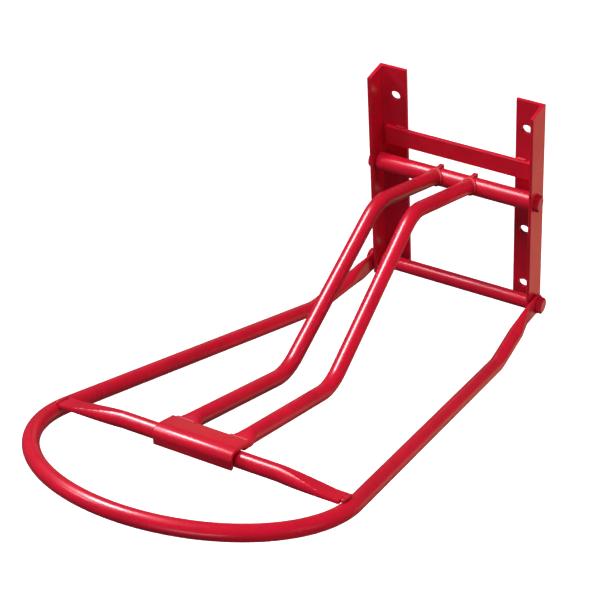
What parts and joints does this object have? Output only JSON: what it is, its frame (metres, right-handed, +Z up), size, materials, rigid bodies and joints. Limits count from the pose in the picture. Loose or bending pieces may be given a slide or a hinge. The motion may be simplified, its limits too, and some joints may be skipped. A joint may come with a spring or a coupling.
{
  "type": "folding wall rack",
  "caption": "Folding wall rack of red steel tube: a hinged D-shaped loop held out by bent struts whose end plate hooks over the loop's cross tube.",
  "frame": {"origin": "centre of the four corner screw holes, on the wall plane", "axes": "+Z up the wall, -Y out from the wall, +X to the right along the wall for someone facing it"},
  "size_m": [0.2516, 0.5591, 0.2229],
  "materials": {
    "tube_enamel": "glossy crimson enamel",
    "plate_enamel": "glossy crimson enamel over rolled angle and flat bar",
    "hardware_enamel": "glossy crimson enamel over bolts and washers",
    "weld_enamel": "glossy crimson enamel over rippled weld beads"
  },
  "bodies": {
    "bracket": {"left_upright": "plate_enamel", "right_upright": "plate_enamel", "stiffener_bar": "plate_enamel", "bar_weld_left": "weld_enamel", "bar_weld_right": "weld_enamel", "lower_crossbar": "tube_enamel", "lower_pivot_bolt_left": "hardware_enamel", "lower_pivot_bolt_right": "hardware_enamel", "lower_washer_left": "hardware_enamel", "lower_washer_right": "hardware_enamel", "spacer_washer_left": "hardware_enamel", "spacer_washer_right": "hardware_enamel"},
    "struts": {"upper_crossbar": "tube_enamel", "upper_pivot_bolt_left": "hardware_enamel", "upper_pivot_bolt_right": "hardware_enamel", "upper_washer_left": "hardware_enamel", "upper_washer_right": "hardware_enamel", "strut_tube_left": "tube_enamel", "strut_tube_right": "tube_enamel", "strut_weld_left": "weld_enamel", "strut_weld_right": "weld_enamel", "hook_plate": "plate_enamel", "hook_weld_left": "weld_enamel", "hook_weld_right": "weld_enamel"},
    "loop": {"loop_tube": "tube_enamel", "cross_tube": "tube_enamel", "cross_weld_left": "weld_enamel", "cross_weld_right": "weld_enamel"}
  },
  "joints": [
    {"name": "loop_fold", "type": "hinge", "parent": "bracket", "child": "loop", "pos_m": [0, -0.015, -0.092], "axis": [1, 0, 0], "range_deg": [0, 100]},
    {"name": "strut_swing", "type": "hinge", "parent": "bracket", "child": "struts", "pos_m": [0, -0.015, 0.019], "axis": [1, 0, 0], "range_deg": [-65, 0]}
  ],
  "couplings": [
    {"joint": "strut_swing", "follows": "loop_fold", "ratio": -0.65}
  ]
}
